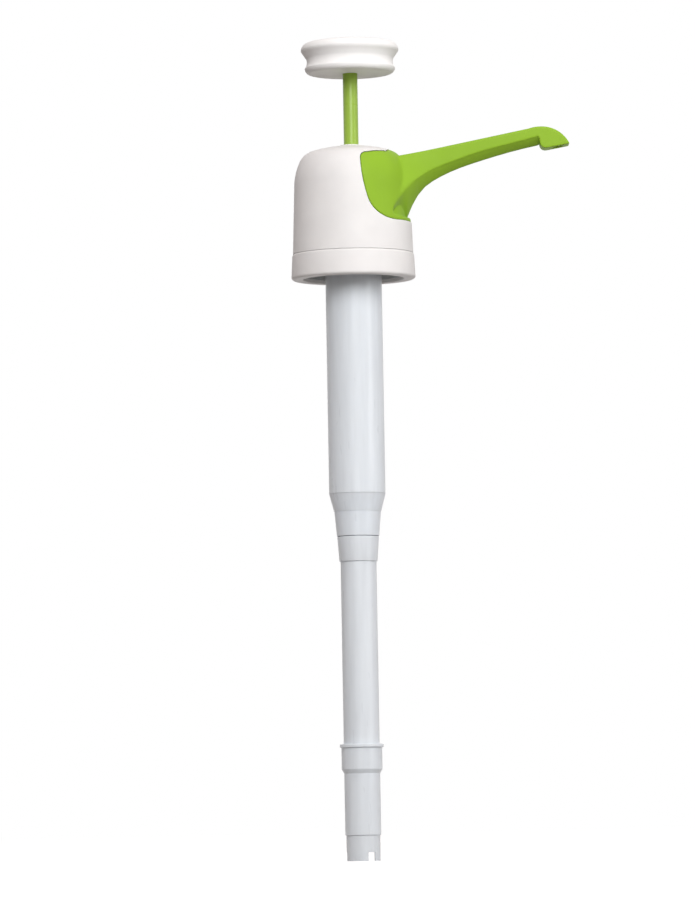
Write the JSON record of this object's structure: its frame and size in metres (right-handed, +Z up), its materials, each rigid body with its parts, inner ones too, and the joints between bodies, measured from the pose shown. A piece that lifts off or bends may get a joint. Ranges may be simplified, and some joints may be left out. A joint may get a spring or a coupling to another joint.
{
  "type": "jug pump",
  "caption": "Hand pump for a water jug: bell-shaped head that grips the neck, long side spout, push knob on a rod, and a barrel with a foot valve and dip tube below.",
  "frame": {"origin": "on the pump axis, where the gasket rests on the rim of the jug neck (start of the neck plug)", "axes": "+Z up along the pump axis towards the knob, +X along the spout, +Y completes the right-handed frame"},
  "size_m": [0.1646, 0.073, 0.482],
  "materials": {
    "shell_white": "satin moulded white plastic",
    "knob_white": "satin moulded white plastic",
    "spout_green": "satin moulded light green plastic",
    "rod_green": "smooth drawn light green plastic",
    "barrel_natural": "natural, faintly translucent plastic",
    "inner_natural": "natural moulded plastic",
    "seal_grey": "soft grey elastomer",
    "seal_clear": "soft translucent elastomer",
    "steel": "stainless steel"
  },
  "bodies": {
    "housing": {"head_shell": "shell_white", "collar_ring": "shell_white", "neck_grip_ring": "seal_clear", "neck_gasket": "seal_grey", "plug_ring": "inner_natural", "pump_head": "inner_natural", "rod_guide": "inner_natural", "spout_body": "spout_green", "spout_underside": "spout_green", "spout_seal": "seal_grey", "rod_bush": "shell_white", "rod_seal": "seal_grey", "seal_retainer": "inner_natural", "barrel": "barrel_natural", "barrel_seal": "seal_grey", "foot_valve_body": "barrel_natural", "foot_valve_cage": "inner_natural", "foot_seal": "seal_grey", "tube_socket": "barrel_natural", "dip_tube_upper": "barrel_natural", "dip_tube_lower": "barrel_natural", "housing_screws": "steel"},
    "piston": {"piston_body": "inner_natural", "piston_seal": "seal_grey", "piston_valve_stop": "inner_natural"},
    "plunger": {"plunger_rod": "rod_green", "piston_screw": "steel", "knob_body": "knob_white", "knob_cap": "knob_white", "knob_screw": "steel"},
    "piston_valve": {"piston_valve_disc": "seal_grey"},
    "foot_valve": {"foot_valve_ball": "steel"}
  },
  "joints": [
    {"name": "plunger_slide", "type": "slide", "parent": "housing", "child": "piston", "axis": [0, 0, 1], "range_m": [-0.038, 0.06]},
    {"name": "knob_spin", "type": "hinge", "parent": "piston", "child": "plunger", "pos_m": [0, 0, 0.1], "axis": [0, 0, 1], "continuous": true},
    {"name": "piston_valve_lift", "type": "slide", "parent": "piston", "child": "piston_valve", "axis": [0, 0, 1], "range_m": [0, 0.003]},
    {"name": "foot_valve_lift", "type": "slide", "parent": "housing", "child": "foot_valve", "axis": [0, 0, 1], "range_m": [0, 0.004]}
  ]
}
